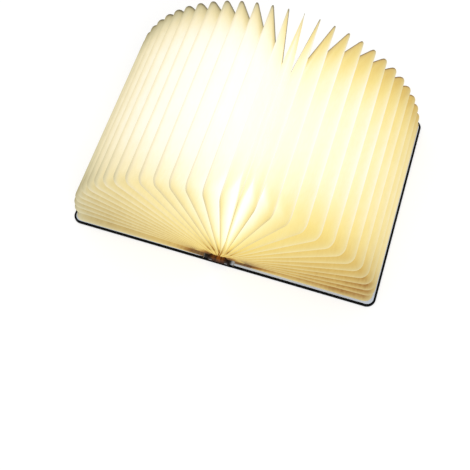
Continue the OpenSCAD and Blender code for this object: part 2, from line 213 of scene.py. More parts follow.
def makeFloor(setup):
    half = setup["floorSize"] / 2
    corners = [(-half, -half, 0), (half, -half, 0), (half, half, 0), (-half, half, 0)]
    mesh = bpy.data.meshes.new("floor")
    mesh.from_pydata(corners, [], [(0, 1, 2, 3)])
    floor = addObject("floor", mesh)
    floor.location.z = -setup["floorDrop"]
    material = bpy.data.materials.new("floorPaper")
    material.use_nodes = True
    tree = material.node_tree
    tree.nodes.clear()
    diffuse = addNode(tree, "ShaderNodeBsdfDiffuse", {"Color": setup["floorColour"]})
    lift = times(tree, seenDirectly(tree), setup["floorLift"])
    glow = addNode(tree, "ShaderNodeEmission", {"Color": white, "Strength": lift})
    both = addNode(tree, "ShaderNodeAddShader", {0: diffuse.outputs[0], 1: glow.outputs[0]})
    addNode(tree, "ShaderNodeOutputMaterial", {"Surface": both.outputs[0]})
    floor.data.materials.append(material)


makeCamera(cameraSetup)
for name, setup in studio["lights"].items():
    makeLight(name, setup)
makeWorld(studio["worldStrength"])
makeFloor(studio)
bpy.context.scene.view_settings.view_transform = "Standard"
print("camera, lights and floor are in place")


# Shared shader groups
def linear(red, green, blue):  # screen colour 0-255 as the linear colour that a shader takes
    return tuple((c / 255 / 12.92) if c / 255 <= 0.04045 else ((c / 255 + 0.055) / 1.055) ** 2.4
                 for c in (red, green, blue))


def addSocket(group, label, direction):
    kind = "NodeSocketColor" if label.endswith("Colour") else "NodeSocketFloat"
    return group.interface.new_socket(name=label, in_out=direction, socket_type=kind)


def startGroup(name, inputs):
    group = bpy.data.node_groups.new(name, "ShaderNodeTree")
    for label, start in inputs.items():
        addSocket(group, label, "INPUT").default_value = (*start, 1) if isinstance(start, tuple) else start
    return group, group.nodes.new("NodeGroupInput").outputs


def endGroup(group, results):
    for label in results:
        addSocket(group, label, "OUTPUT")
    outs = group.nodes.new("NodeGroupOutput")
    for label, result in results.items():
        group.links.new(result, outs.inputs[label])
    return group


def makeMottle():  # cloudy change of tone, with a fine grain for the bump
    group, ins = startGroup("mottle", {"Colour": (0.5, 0.5, 0.5), "Tone": 0.15, "Cloud Scale": 60,
                                       "Grain Scale": 900, "Roughness": 0.5, "Roughness Change": 0.1})
    cloud = addNoise(group, ins["Cloud Scale"], 5)
    grain = addNoise(group, ins["Grain Scale"], 3)
    both = plus(group, times(group, cloud, 0.65), times(group, grain, 0.35))
    shift = times(group, minus(group, both, 0.5), 2.6)
    level = plus(group, times(group, shift, ins["Tone"]), 1)
    rough = plus(group, ins["Roughness"], times(group, shift, ins["Roughness Change"]), True)
    colour = addScale(group, ins["Colour"], level)
    return endGroup(group, {"Colour": colour, "Roughness": rough, "Height": grain})


def makeEdgeWear():  # lighter, rubbed colour along raised edges, broken up by noise
    group, ins = startGroup("edgeWear", {"Colour": (0.5, 0.5, 0.5), "Worn Colour": (0.7, 0.7, 0.7),
                                         "Amount": 0.5, "Start": 0.52, "Break Scale": 220})
    raised = group.nodes.new("ShaderNodeNewGeometry").outputs["Pointiness"]
    edge = times(group, minus(group, raised, ins["Start"]), 18, True)
    broken = times(group, edge, addNoise(group, ins["Break Scale"], 4))
    mask = times(group, times(group, broken, 1.6), ins["Amount"], True)
    return endGroup(group, {"Colour": addMix(group, mask, ins["Colour"], ins["Worn Colour"])})


def makeLeatherGrain():  # pebbled grain of imitation leather
    group, ins = startGroup("leatherGrain", {"Colour": (0.1, 0.1, 0.1), "Scale": 900, "Depth Tone": 0.4,
                                             "Roughness": 0.4})
    place = group.nodes.new("ShaderNodeTexCoord").outputs["Object"]
    cells = addNode(group, "ShaderNodeTexVoronoi", {"Vector": place, "Scale": ins["Scale"]},
                    feature="SMOOTH_F1")
    pebble = addRamp(group, cells.outputs["Distance"], [(0.0, 1.0), (0.45, 0.75), (0.9, 0.0)])
    hollow = minus(group, 1, pebble)
    shade = minus(group, 1, times(group, hollow, ins["Depth Tone"]))
    cloud = plus(group, times(group, addNoise(group, 45, 4), 0.5), 0.75)
    colour = addScale(group, ins["Colour"], times(group, shade, cloud))
    rough = plus(group, ins["Roughness"], times(group, hollow, 0.25), True)
    return endGroup(group, {"Colour": colour, "Roughness": rough, "Height": pebble})


coolGlow = [  # pale paper tone in daylight, from barely lit to fully lit
    (0.00, linear(96, 86, 62)),
    (0.20, linear(180, 170, 132)),
    (0.40, linear(214, 205, 168)),
    (0.55, linear(235, 223, 186)),
    (0.70, linear(248, 239, 210)),
    (0.85, linear(253, 249, 236)),
    (1.00, linear(255, 254, 247)),
]
warmGlow = [  # the same paper where only the lamp lights it
    (0.00, linear(84, 36, 4)),
    (0.10, linear(168, 112, 34)),
    (0.22, linear(216, 182, 98)),
    (0.40, linear(238, 212, 128)),
    (0.55, linear(247, 227, 144)),
    (0.70, linear(252, 239, 176)),
    (0.85, linear(255, 249, 214)),
    (1.00, linear(255, 254, 246)),
]


def makePaperGlow():  # fibrous paper lit from inside; glow and warmth come with each mesh and hold painted shade and painted daylight besides the lamp's light
    group, ins = startGroup("paperGlow", {"Reflect": 0.34, "Emit": 0.72, "Cloud": 0.05})
    fibre = addNoise(group, 420, 6, (1, 0.35, 1))
    cloud = addNoise(group, 38, 3)
    both = plus(group, times(group, fibre, 0.5), times(group, cloud, 0.5))
    shift = times(group, minus(group, both, 0.5), ins["Cloud"])
    level = plus(group, addAttribute(group, "glow"), times(group, shift, 4), True)
    cool, warm = addRamp(group, level, coolGlow), addRamp(group, level, warmGlow)
    colour = addMix(group, addAttribute(group, "warmth"), cool, warm)
    return endGroup(group, {"Base Colour": addScale(group, colour, ins["Reflect"]),
                            "Emission Colour": addScale(group, colour, ins["Emit"]), "Height": fibre})


def makeAntiquePaint():  # painted relief: dark in the hollows, rubbed pale on the ridges
    group, ins = startGroup("antiquePaint", {"Crevice Colour": linear(12, 20, 24), "Crevice": 0.9,
                                             "Edge Colour": linear(214, 222, 212), "Edge": 0.55, "Tone": 0.3})
    rise = addAttribute(group, "rise")
    cloud, grain = addNoise(group, 90, 5), addNoise(group, 1300, 3)
    low = times(group, times(group, rise, -5), ins["Crevice"], True)
    high = times(group, times(group, rise, 5), ins["Edge"], True)
    high = times(group, high, plus(group, grain, 0.35), True)
    shift = times(group, minus(group, cloud, 0.5), ins["Tone"])
    level = plus(group, times(group, shift, 3), 1)
    colour = addScale(group, addAttribute(group, "paint", "Color"), level)
    colour = addMix(group, low, colour, ins["Crevice Colour"])
    colour = addMix(group, high, colour, ins["Edge Colour"])
    rough = plus(group, 0.36, times(group, grain, 0.2))
    return endGroup(group, {"Colour": colour, "Roughness": rough, "Height": grain})


mottleGroup = makeMottle()
wearGroup = makeEdgeWear()
leatherGroup = makeLeatherGrain()
glowGroup = makePaperGlow()
paintGroup = makeAntiquePaint()


# Materials
def startMaterial(name):
    material = bpy.data.materials.new(name)
    material.use_nodes = True
    return material, material.node_tree


def placeGroup(tree, group, values):
    return addNode(tree, "ShaderNodeGroup", values, node_tree=group).outputs


def finishMaterial(material, height, depth, sockets):  # the shader's own sockets, and its bump
    tree = material.node_tree
    shader = tree.nodes["Principled BSDF"]
    for label, value in sockets.items():
        feed(tree, shader.inputs[label], value)
    bump = addNode(tree, "ShaderNodeBump", {"Distance": depth, "Strength": 1.0, "Height": height})
    tree.links.new(bump.outputs[0], shader.inputs["Normal"])
    return material


def mottledMaterial(name, colour, roughness, metallic=0.0, tone=0.15, cloud=60, grain=900, bump=0.02,
                    coat=0.0, glow=0.0):
    material, tree = startMaterial(name)
    mottle = placeGroup(tree, mottleGroup, {"Colour": colour, "Tone": tone, "Cloud Scale": cloud,
                                            "Grain Scale": grain, "Roughness": roughness})
    sockets = {"Base Color": mottle["Colour"], "Roughness": mottle["Roughness"], "Metallic": metallic,
               "Coat Weight": coat}
    if glow:
        sockets.update({"Emission Color": mottle["Colour"], "Emission Strength": glow})
    return finishMaterial(material, mottle["Height"], bump * mm, sockets)


leatherLook = {
    "edge": linear(3, 4, 6),
    "face": linear(40, 54, 64),
    "moulding": linear(132, 146, 136),
    "worn": linear(18, 21, 26),
    "wornAmount": 0.6,
    "grainScale": 1100,
    "grainDepth": 0.06 * mm,
    "sheen": 0.06,
    "coat": 0.03,
    "coatRoughness": 0.3,
}


def leatherMaterial(name, roughness):  # "face" is 0 on the edge, 0.5 on the face, 1 on the moulding
    look = leatherLook
    material, tree = startMaterial(name)
    stops = [(0.05, look["edge"]), (0.45, look["face"]), (0.55, look["face"]), (0.95, look["moulding"])]
    colour = addRamp(tree, addAttribute(tree, "face"), stops)
    leather = placeGroup(tree, leatherGroup, {"Colour": colour, "Scale": look["grainScale"],
                                              "Roughness": roughness})
    wear = placeGroup(tree, wearGroup, {"Colour": leather["Colour"], "Worn Colour": look["worn"],
                                        "Amount": look["wornAmount"]})
    return finishMaterial(material, leather["Height"], look["grainDepth"], {
        "Base Color": wear["Colour"], "Roughness": leather["Roughness"], "Specular IOR Level": look["sheen"],
        "Coat Weight": look["coat"], "Coat Roughness": look["coatRoughness"]})


liningLook = {
    "pale": linear(196, 204, 216),
    # colour of the painted shade beside the core
    "dark": linear(16, 9, 7),
    "roughness": 0.7,
    "grainDepth": 0.03 * mm,
}


def liningMaterial(name):  # "gutter" darkens it beside the core, as painted shade
    look = liningLook
    material, tree = startMaterial(name)
    colour = addMix(tree, addAttribute(tree, "gutter"), look["pale"], look["dark"])
    mottle = placeGroup(tree, mottleGroup, {"Colour": colour, "Tone": 0.05, "Cloud Scale": 30,
                                            "Grain Scale": 1400, "Roughness": look["roughness"]})
    return finishMaterial(material, mottle["Height"], look["grainDepth"], {
        "Base Color": mottle["Colour"], "Roughness": mottle["Roughness"]})


paperLook = {"roughness": 0.75, "sheen": 0.25, "grainDepth": 0.05 * mm}


def paperMaterial(name):
    look = paperLook
    material, tree = startMaterial(name)
    paper = placeGroup(tree, glowGroup, {})
    return finishMaterial(material, paper["Height"], look["grainDepth"], {
        "Base Color": paper["Base Colour"], "Roughness": look["roughness"],
        "Specular IOR Level": look["sheen"], "Emission Color": paper["Emission Colour"],
        "Emission Strength": 1.0})


reliefLook = {"metallic": 0.15, "coat": 0.2, "grainDepth": 0.02 * mm}


def reliefMaterial(name):
    look = reliefLook
    material, tree = startMaterial(name)
    paint = placeGroup(tree, paintGroup, {})
    return finishMaterial(material, paint["Height"], look["grainDepth"], {
        "Base Color": paint["Colour"], "Roughness": paint["Roughness"], "Metallic": look["metallic"],
        "Coat Weight": look["coat"]})


coreLook = {
    "brown": linear(16, 7, 4),
    "worn": linear(44, 24, 12),
    "wornAmount": 0.5,
    "roughness": 0.7,
    "sheen": 0.1,
    "grainDepth": 0.02 * mm,
    "amber": linear(168, 92, 16),
    "glow": 0.68,
    "halfWidth": 9.0 * mm,
    "fadeFrom": 1.0 * mm,
    "fadeTo": 12.2 * mm,
    "streaks": [(0.35, 0.1), (0.6, 1.0)],
}


def coreMaterial(name):  # dark brown, with the lamp's amber light in streaks on its upper middle
    look = coreLook
    material, tree = startMaterial(name)
    mottle = placeGroup(tree, mottleGroup, {"Colour": look["brown"], "Tone": 0.35, "Cloud Scale": 90,
                                            "Grain Scale": 500, "Roughness": look["roughness"]})
    wear = placeGroup(tree, wearGroup, {"Colour": mottle["Colour"], "Worn Colour": look["worn"],
                                        "Amount": look["wornAmount"]})
    place = tree.nodes.new("ShaderNodeTexCoord").outputs["Object"]
    axes = addNode(tree, "ShaderNodeSeparateXYZ", {0: place}).outputs
    fromMiddle = addMath(tree, "DIVIDE", addMath(tree, "ABSOLUTE", axes["X"], 0), look["halfWidth"])
    middle = minus(tree, 1, fromMiddle, True)
    above = minus(tree, axes["Z"], look["fadeFrom"])
    raised = addMath(tree, "DIVIDE", above, look["fadeTo"] - look["fadeFrom"], True)
    streaks = addRamp(tree, addNoise(tree, 900, 1, (1, 0.05, 0.05)), look["streaks"])
    lit = times(tree, times(tree, middle, raised), streaks)
    amber = addMix(tree, times(tree, lit, look["glow"]), (0, 0, 0), look["amber"])
    return finishMaterial(material, mottle["Height"], look["grainDepth"], {
        "Base Color": wear["Colour"], "Roughness": mottle["Roughness"], "Specular IOR Level": look["sheen"],
        "Emission Color": amber, "Emission Strength": 1.0})


# Mesh helpers
def makePiece(name, points, faces, material, values):
    mesh = bpy.data.meshes.new(name)
    mesh.from_pydata([tuple(float(c) for c in p) for p in points], [], faces)
    mesh.validate()
    mesh.shade_smooth()
    for label, numbers in values.items():
        attribute = mesh.attributes.new(label, "FLOAT", "POINT")
        attribute.data.foreach_set("value", np.asarray(numbers, np.float32))
    piece = addObject(name, mesh)
    piece.data.materials.append(material)
    return piece


def gridFaces(rows, columns, start=0, flip=False):
    faces = []
    for i in range(rows - 1):
        for j in range(columns - 1):
            a = start + i * columns + j
            quad = (a, a + 1, a + columns + 1, a + columns)
            faces.append(quad[::-1] if flip else quad)
    return faces


def ringOf(rows, columns, start=0):  # a grid's border, in order round it
    top = [start + j for j in range(columns)]
    right = [start + i * columns + columns - 1 for i in range(1, rows)]
    bottom = [start + (rows - 1) * columns + j for j in range(columns - 2, -1, -1)]
    left = [start + i * columns for i in range(rows - 2, 0, -1)]
    return top + right + bottom + left


def bandFaces(ringA, ringB):
    count = len(ringA)
    return [(ringA[i], ringB[i], ringB[(i + 1) % count], ringA[(i + 1) % count]) for i in range(count)]


def turnedOver(faces):
    return [face[::-1] for face in faces]


def envelopeFaces(rows, columns):  # two sheets of one grid, joined round their rims
    count = rows * columns
    faces = gridFaces(rows, columns) + gridFaces(rows, columns, count, True)
    return faces + bandFaces(ringOf(rows, columns), ringOf(rows, columns, count))


def smoothStep(value):
    value = np.clip(value, 0, 1)
    return value * value * (3 - 2 * value)


def softMin(first, second, softness):
    return -softness * np.log(np.exp(-first / softness) + np.exp(-second / softness))


# Paper leaves: closed envelopes, puffed until they meet their neighbours
leafShape = {
    "corner": 8 * mm,
    "seamWidth": 1.3 * mm,
    "paperHalf": 0.25 * mm,
    "puffStart": 0.01 * mm,
    "puffSlope": 0.15,
    "clearance": 0.12 * mm,
    "softness": 0.5 * mm,
    "bow": 0.7 * mm,
    "radialSteps": 34,
    "spineSteps": 46,
    "endCrowding": 1.7,
    "rimCrowding": 1.9,
    "keepClosed": 0.05,
    "seed": 11,
    "trim": 3.8 * mm,
    "trimAngle": 9,
    # strength of the painted crevice shade by the core, by leaf
    "amberLeast": 0.2,
    "amberSpread": 6,
}

# The paper's glow: the lamp's falloff, with painted shade and painted daylight (see paperLight)
leafLight = {
    "full": 1.0,
    "least": 0.03,
    "reachLoss": 0.04,
    "nearLoss": 0.44,
    "nearLossUpright": 0.55,
    "nearDepth": 34 * mm,
    "nearPower": 1.3,
    "farLoss": 0.68,
    "farDepth": 20 * mm,
    "farDepthRight": 14 * mm,
    "farPower": 1.2,
    "leftLoss": 0.33,
    "leftPower": 2.2,
    "rightLoss": 0.40,
    "rightPower": 4,
    "rightNearLoss": 0.05,
    "startLoss": 0.3,
    "rimLoss": 0.10,
    "rimPower": 5,
    "rimDepth": 7 * mm,
    "outerFrom": 0.25,
    "outerOver": 0.45,
    # painted shade and highlight across each leaf from rim to valley at the ends
    "nearBand": 0.13,
    "middleBand": 0.20,
    "nearShade": 0.25,
    "middleShade": 0.9,
    # painted highlight on the near corners of the flat leaves
    "cornerLift": 0.22,
    "cornerLiftRight": 0.16,
    "cornerDepth": 14 * mm,
    "cornerBlend": 16 * mm,
    # painted shade and highlight across each leaf from rim to valley, by side
    "leftBand": 0.13,
    "leftShade": 0.60,
    "rightBand": 0.10,
    "rightShade": 0.30,
    "farBand": 0.05,
    "line": 0.12,
    "lineWidth": 2.1 * mm,
    "spikeLine": 0.68,
    "spikeWidth": 1.0 * mm,
    "spikeWiden": 1.6,
    "uprightAngle": 82,
    "uprightSpread": 10,
    "coreReach": 55 * mm,
    "coreReachUpright": 0.45,
    "coreDepth": 68 * mm,
    "coreLoss": 0.16,
    # painted shade in the crevices by the core
    "amber": 0.95,
    "amberReach": 20 * mm,
    "amberPower": 1.4,
    "amberDepth": 6 * mm,
    "amberShade": 0.1,
    "gutterShade": 0.34,
    "gutterStart": 1.2,
    "gutterReach": 11 * mm,
    "gutterDepth": 8 * mm,
    "warmth": 0.46,
    "warmRight": 0.36,
    "warmLeft": 0.38,
    "warmCore": 0.7,
    "nearWarmth": 0.28,
    "farWarmth": 0.35,
    # cooler tone: painted daylight on rims and corners, cool painted shade beside the core, and cooler spikes and
    # seam lines
    "paleRim": 0.55,
    "paleRimLeft": 0.4,
    "paleSpike": 0.8,
    "paleSpikeRight": 0.2,
    "paleGutter": 0.6,
    "paleCorner": 0.4,
    "paleLine": 0.4,
    "paleForeLine": 0.9,
    "paleLineCore": 0.6,
}


class Leaf:  # place of one flat leaf of the frame: pivot, directions and reach
    def __init__(self, name):
        joint = joints[name]
        travel = 90 * ratios[joint["name"]]
        self.name = name
        self.backSide = joint["axis"][1] < 0
        self.angle = math.radians(90 - travel if self.backSide else 90 + travel)
        self.pivot = np.array(joint["pos_m"])
        self.along = np.array((math.cos(self.angle), 0, math.sin(self.angle)))
        self.normal = np.array((-math.sin(self.angle), 0, math.cos(self.angle)))
        solid = np.array([v.co for v in frame["nodes"][name].data.vertices])
        reach = (solid - self.pivot) @ self.along
        self.start, self.end = reach.min(), reach.max()
        self.offset = ((solid - self.pivot) @ self.normal).mean()
        self.half = solid[:, 1].max()
        self.cover = "back_cover_hinge" if self.backSide else "front_cover_hinge"

    def point(self, reach):
        return self.pivot + self.offset * self.normal + np.multiply.outer(reach, self.along)


leaves = [Leaf(name) for name in sorted(frame["nodes"]) if name.startswith("leaf_")]
leafStep = abs(leaves[1].angle - leaves[0].angle)
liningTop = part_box("back_lining")[1].z


def gapTo(leaf, other, reach):  # from a leaf's middle to the surface midway to its neighbour
    if other is None:
        return (leaf.point(reach)[..., 2] - liningTop) / 2
    return abs((other.point(reach) - leaf.point(reach)) @ leaf.normal) / 2


def paperSheet(half, start, end):  # reach, y and distance from the rim over the grid of one sheet
    shape = leafShape
    corner = shape["corner"]
    spread = np.linspace(-1, 1, shape["spineSteps"])
    y = np.sign(spread) * half * (1 - (1 - np.abs(spread)) ** shape["endCrowding"])
    over = np.maximum(np.abs(y) - (half - corner), 0)
    farthest = end - corner + np.sqrt(np.maximum(corner ** 2 - over ** 2, 0))
    inward = np.linspace(0, 1, shape["radialSteps"]) ** shape["rimCrowding"]
    reach = farthest[:, None] - (farthest[:, None] - start) * inward[None, :]
    y = np.repeat(y[:, None], shape["radialSteps"], 1)
    inX, inY = end - reach, half - np.abs(y)
    short = np.hypot(np.maximum(corner - inX, 0), np.maximum(corner - inY, 0))
    edge = np.where((inX < corner) & (inY < corner), corner - short, np.minimum(inX, inY))
    return reach, y, np.maximum(edge, 0)


def puffOf(edge, start, gap, least):  # half thickness that the paper takes within its room
    shape = leafShape
    wish = shape["puffSlope"] * np.maximum(edge - shape["seamWidth"], 0) + start
    return np.maximum(softMin(wish, gap - shape["clearance"], shape["softness"]), least)


def paperLight(leaf, reach, y, edge, amber):  # brightness and warmth of the paper at each point: the lamp's light through it, with painted shade and painted daylight highlights
    light = leafLight
    share = (reach - leaf.start) / (leaf.end - leaf.start)
    fromEnd, fromFore = leaf.half - np.abs(y), leaf.end - reach
    near, far = (y < 0) * 1.0, (y >= 0) * 1.0
    lean = -math.cos(leaf.angle)  # -1 flat on the right, 1 flat on the left
    toLeft, toRight, tilt = max(lean, 0), max(-lean, 0), abs(lean)
    left, right = math.sqrt(toLeft), math.sqrt(toRight)
    outer = float(smoothStep((tilt - light["outerFrom"]) / light["outerOver"]))

    def upTo(upright):  # from its value on an upright leaf to 1 on a flat one
        return upright + (1 - upright) * tilt

    def valley(openingShare):  # 0 on the rim, 1 deep between two leaves
        return 1 - np.exp(-edge / (openingShare * leafStep * reach))

    foreShare = smoothStep((fromEnd - fromFore) / light["cornerBlend"] + 0.5)
    nearShare, farShare = (1 - foreShare) * near, (1 - foreShare) * far
    nearFade = near * np.exp(-(fromEnd / light["nearDepth"]) ** light["nearPower"])
    farDepth = light["farDepth"] + light["farDepthRight"] * right
    farFade = far * np.exp(-(fromEnd / farDepth) ** light["farPower"])
    line = np.exp(-(edge / light["lineWidth"]) ** 2) * (1 - right)
    upright = math.exp(-((math.degrees(leaf.angle) - light["uprightAngle"]) / light["uprightSpread"]) ** 2)
    spikeWidth = light["spikeWidth"] * (1 + light["spikeWiden"] * upright)
    spike = np.exp(-(edge / spikeWidth) ** 2) * farShare * math.sqrt(1 - tilt)
    coreReach = light["coreReach"] * upTo(light["coreReachUpright"])
    core = near * np.exp(-reach / coreReach - fromEnd / light["coreDepth"])
    corner = tilt ** 3 * near * np.exp(-fromFore / light["cornerDepth"] - fromEnd / light["nearDepth"])
    gutter = np.exp(light["gutterStart"] - reach / light["gutterReach"] - fromEnd / light["gutterDepth"])
    gutter = np.minimum(near * tilt ** 8 * gutter, 1)
    fromCore = np.maximum(reach - leaf.start, 0) / light["amberReach"]
    dark = near * np.exp(-fromCore ** light["amberPower"] - fromEnd / light["amberDepth"])
    dark = dark * valley(light["amberShade"])
    nearBand = light["nearBand"] * outer - light["middleBand"] * (1 - outer)
    nearShade = light["nearShade"] * outer + light["middleShade"] * (1 - outer)
    leftValley, rightValley = valley(light["leftShade"]), valley(light["rightShade"])
    leftBand = light["leftBand"] * left * (1 - 2 * leftValley)
    rightBand = light["rightBand"] * right * (1 - 2 * rightValley)
    leftLoss = light["leftLoss"] * toLeft ** light["leftPower"]
    rightLoss = light["rightLoss"] * toRight ** light["rightPower"]

    # Painted light joins the lamp's falloff in glow: bands darken or lighten each leaf from its rim into the
    # valley, the near corners get a painted highlight, and painted shade lies beside the core (gutter) and in the
    # crevices by the core (amber)
    glow = light["full"] - light["reachLoss"] * share ** 2 - light["coreLoss"] * core
    glow -= (light["nearLoss"] * upTo(light["nearLossUpright"]) + light["rightNearLoss"] * right) * nearFade
    glow -= light["farLoss"] * (1 - tilt ** 4 / 2) * farFade
    glow -= (leftLoss + rightLoss) * (light["startLoss"] + (1 - light["startLoss"]) * share)
    glow -= light["rimLoss"] * toRight ** light["rimPower"] * np.exp(-fromFore / light["rimDepth"])
    glow += nearBand * nearShare * (1 - 2 * valley(nearShade))
    glow += (light["cornerLift"] if lean > 0 else light["cornerLiftRight"]) * corner
    glow += (rightBand - leftBand) * foreShare
    glow -= light["farBand"] * farShare * (1 - 2 * leftValley)
    glow -= light["line"] * line * (1 - nearShare * left) + light["spikeLine"] * spike
    glow -= light["gutterShade"] * gutter + light["amber"] * amber * dark

    # In warmth, the cooler, paler tone on rims and near corners is painted daylight, and beside the core it is
    # cool painted shade
    paleSpike = light["paleSpike"] * (1 - right) + light["paleSpikeRight"] * right
    paleRim = right * (1 - rightValley) + light["paleRimLeft"] * foreShare * left * (1 - leftValley)
    paleLine = (light["paleLine"] + light["paleForeLine"] * foreShare) * (1 - light["paleLineCore"] * core)
    warmth = light["warmth"] + (light["warmRight"] * right - light["warmLeft"] * left) * share
    warmth += light["warmCore"] * core + light["nearWarmth"] * nearFade
    warmth += light["farWarmth"] * right * far * np.exp(-fromEnd / farDepth)
    warmth -= light["paleRim"] * paleRim + paleSpike * spike + paleLine * line
    warmth -= light["paleGutter"] * gutter + light["paleCorner"] * corner
    return np.clip(glow, light["least"], 1), np.clip(warmth, 0, 1)


def makePaper(name, sheets, glow, warmth, turned=False):  # two sheets as one envelope
    points = np.concatenate([sheet.reshape(-1, 3) for sheet in sheets])
    faces = envelopeFaces(*glow.shape)
    values = {"glow": np.tile(glow.ravel(), 2), "warmth": np.tile(warmth.ravel(), 2)}
    return makePiece(name, points, turnedOver(faces) if turned else faces, leafPaper, values)


def makeLeaf(number, chance):
    leaf, shape = leaves[number], leafShape
    end = leaf.end - shape["trim"] * math.exp(-math.degrees(leaf.angle) / shape["trimAngle"])
    reach, y, edge = paperSheet(leaf.half, leaf.start, end)
    before = leaves[number - 1] if number > 0 else None
    after = leaves[number + 1] if number + 1 < len(leaves) else None
    bow = chance.uniform(-1, 1) * shape["bow"]
    share = (reach - leaf.start) / (leaf.end - leaf.start)
    middle = bow * np.cos(y / leaf.half * math.pi / 2) * share ** 2
    flat = leaf.point(reach) + np.stack((0 * y, y, 0 * y), -1)
    sheets = []
    for side, neighbour in ((1, after), (-1, before)):
        puff = puffOf(edge, shape["puffStart"], gapTo(leaf, neighbour, reach), shape["paperHalf"])
        sheets.append(flat + (middle + side * puff)[..., None] * leaf.normal)
    # Painted shade in the crevices by the core, strong on every other leaf near the middle
    fromMiddle = (number - (len(leaves) - 1) / 2) / shape["amberSpread"]
    amber = shape["amberLeast"] if number % 2 == 0 else 1.0
    amber *= chance.uniform(0.8, 1.0) * math.exp(-fromMiddle ** 4)
    light = paperLight(leaf, reach, y, edge, amber)
    piece = makePaper(leaf.name.replace("leaf_", "paperLeaf"), sheets, *light)
    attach(piece, leaf.name)
    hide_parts(leaf.name)
    anchor = leaf.point(leaf.end / 2)
    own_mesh(piece)


leafPaper = paperMaterial("leafPaper")
chance = np.random.default_rng(leafShape["seed"])
for number in range(len(leaves)):
    makeLeaf(number, chance)
print("paper leaves:", len(leaves))


# Inner folds: one short fold from the core's top to each leaf
rootShape = {
    "foot": 9.65 * mm,
    "footDepth": 0.2 * mm,
    "footHalf": 104.6 * mm,
    "tipReach": 1.0 * mm,
    "half": 0.16 * mm,
    "bulge": 0.35 * mm,
    "bulgeLength": 8 * mm,
    "endThin": 0.4,
    "endTaper": 12 * mm,
    "steps": 9,
    "sideSteps": 30,
    "endCrowding": 2.2,
    # The fold's glow: darker and warmer towards its ends, with painted shade in crevice streaks by the core
    # (amber) and on the outer folds (shade)
    "rimDepth": 1.4 * mm,
    "amberDepth": 16 * mm,
    "shadeDepth": 5 * mm,
    "shade": 0.60,
    "shadeTipLess": 0.6,
    "shadeFrom": 0.3,
    "shadeOver": 0.4,
    "glow": 0.72,
    "least": 0.02,
    "nearLoss": 0.2,
    "amberLoss": 0.6,
    "amberRimLess": 0.3,
    "amberTipLess": 0.3,
    "amberLeast": 0.3,
    "amberShare": 0.6,
    "warmth": 0.7,
    "nearWarmth": 0.3,
    "shadeCool": 0.35,
    "seed": 5,
}
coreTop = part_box("core_lid")[1]
coreRound = 4.5 * mm


def coreTopAt(x):
    over = max(abs(x) - (coreTop.x - coreRound), 0)
    return coreTop.z - coreRound + math.sqrt(max(coreRound ** 2 - over ** 2, 0))


def makeFold(leaf, foot, tip, amber, shaded):
    shape = rootShape
    along = tip - foot
    length = np.linalg.norm(along)
    across = np.array((-along[2], 0, along[0])) / length
    spread = np.linspace(-1, 1, shape["sideSteps"])
    spread = np.sign(spread) * (1 - (1 - np.abs(spread)) ** shape["endCrowding"])
    place, step = np.meshgrid(spread, np.linspace(0, 1, shape["steps"]), indexing="ij")
    reachHalf = shape["footHalf"] * (1 - step) + leaf.half * step
    depth = reachHalf * (1 - np.abs(place))
    thick = shape["half"] + shape["bulge"] * np.sin(step * math.pi) * min(1, length / shape["bulgeLength"])
    thick *= shape["endThin"] + (1 - shape["endThin"]) * np.minimum(1, depth / shape["endTaper"])
    flat = foot + step[..., None] * along + np.stack((0 * place, reachHalf * place, 0 * place), -1)
    sheets = [flat + side * thick[..., None] * across for side in (1, -1)]
    # Painted shade: crevice streaks by the core (dark) and shade on the outer folds (shadow)
    near = np.exp(-depth / shape["amberDepth"])
    rim = np.exp(-(depth / shape["rimDepth"]) ** 2)
    dark = amber * near * (1 - shape["amberRimLess"] * rim) * (1 - shape["amberTipLess"] * step)
    shadow = shaded * np.exp(-depth / shape["shadeDepth"]) * (1 - shape["shadeTipLess"] * step)
    glow = shape["glow"] - shape["nearLoss"] * near - shape["amberLoss"] * dark - shape["shade"] * shadow
    warmth = shape["warmth"] + shape["nearWarmth"] * near - shape["shadeCool"] * shadow
    piece = makePaper(leaf.name.replace("leaf_", "rootFold"), sheets, np.clip(glow, shape["least"], 1),
                      np.clip(warmth, 0, 1))
    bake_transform(piece)
    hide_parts("back_roots" if leaf.backSide else "front_roots")


chance = np.random.default_rng(rootShape["seed"])
for number, leaf in enumerate(leaves):
    share = leaf.pivot[0] / leaves[0].pivot[0]
    footX = rootShape["foot"] * share
    foot = np.array((footX, 0, coreTopAt(footX) - rootShape["footDepth"]))
    tip = leaf.point(leaf.start + rootShape["tipReach"])
    # Painted shade: crevice streaks on every other middle fold, and shade on the outer folds
    amber = rootShape["amberLeast"] if number % 2 == 0 else 1.0
    amber *= math.exp(-(share / rootShape["amberShare"]) ** 4) * chance.uniform(0.85, 1.0)
    shaded = float(smoothStep((abs(share) - rootShape["shadeFrom"]) / rootShape["shadeOver"]))
    makeFold(leaf, foot, tip, amber, shaded)
print("inner folds:", len(leaves))


